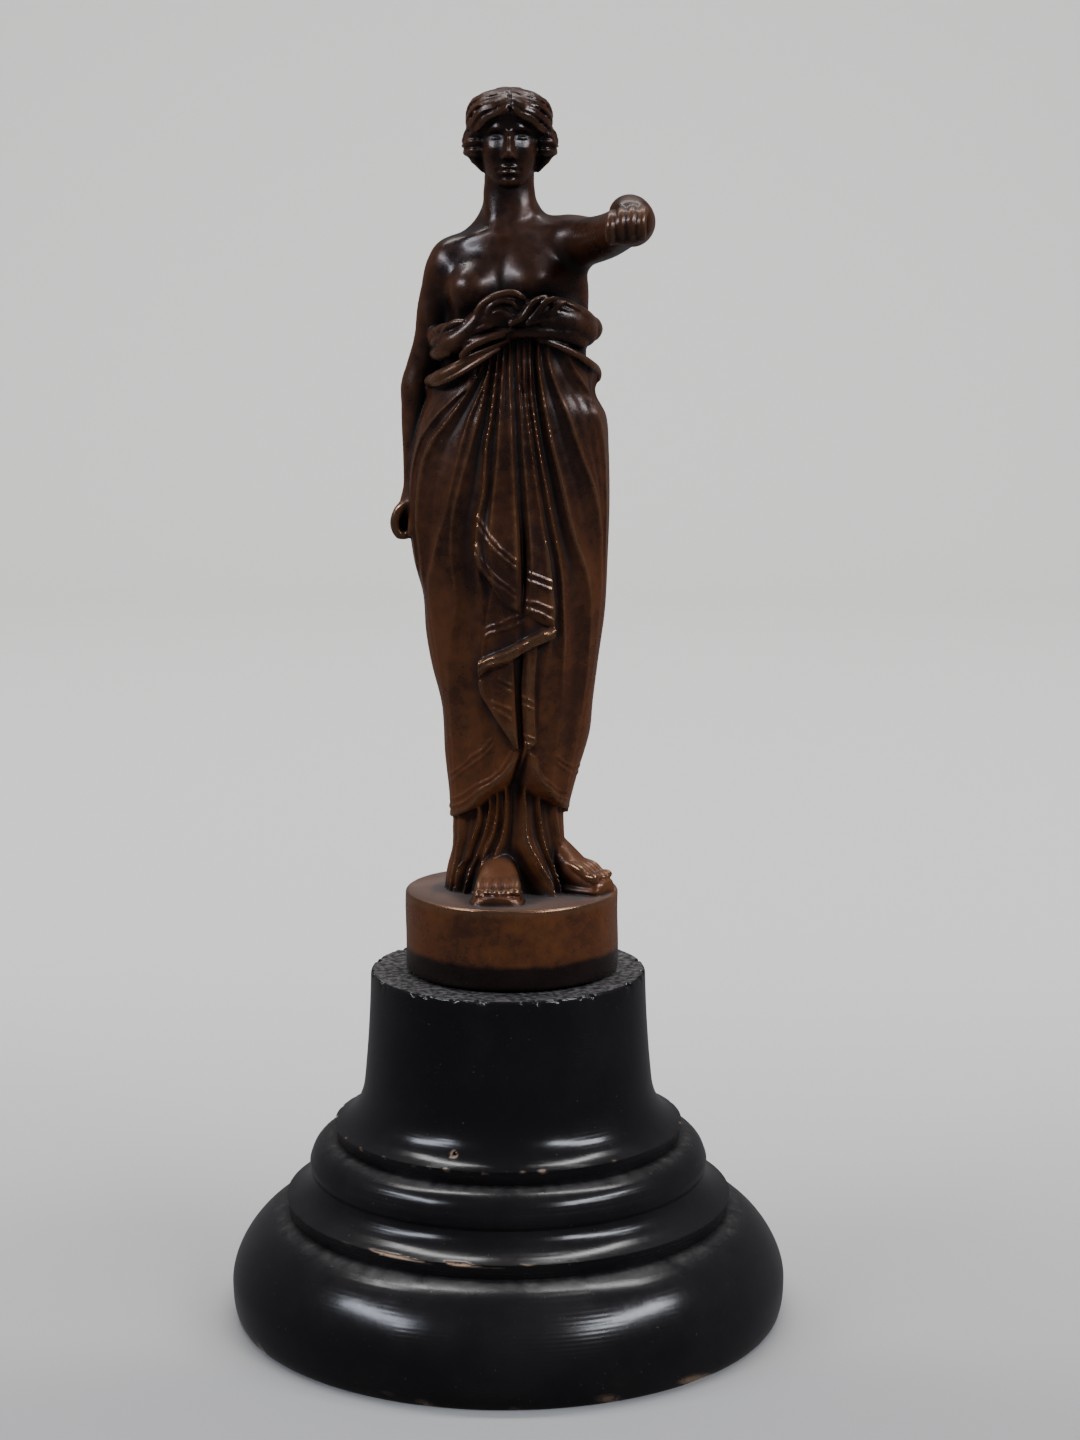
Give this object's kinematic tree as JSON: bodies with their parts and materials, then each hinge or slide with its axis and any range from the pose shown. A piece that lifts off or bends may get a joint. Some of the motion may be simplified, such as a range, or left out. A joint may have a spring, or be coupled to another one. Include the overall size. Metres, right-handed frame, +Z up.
{
  "type": "bronze statuette on wooden socle",
  "caption": "Small cast bronze statuette of a half-draped standing maiden holding one arm out, on a round bronze base and a turned, blackened wooden socle.",
  "frame": {"origin": "centre of the socle's flat underside, on its turning axis", "axes": "+Z up along the socle's axis and the figure, -Y the way the figure faces, +X to the viewer's right, the side of the raised arm"},
  "size_m": [0.1062, 0.1062, 0.23],
  "materials": {
    "bronze": "dark brown patina rubbed golden brown on the high folds, semi-gloss",
    "blackened_wood": "black lacquer over turned wood, semi-gloss, dusty in the creases and chipped at the edges"
  },
  "bodies": {
    "root": {"bronze_figure": "bronze", "wooden_socle": "blackened_wood"}
  },
  "joints": []
}
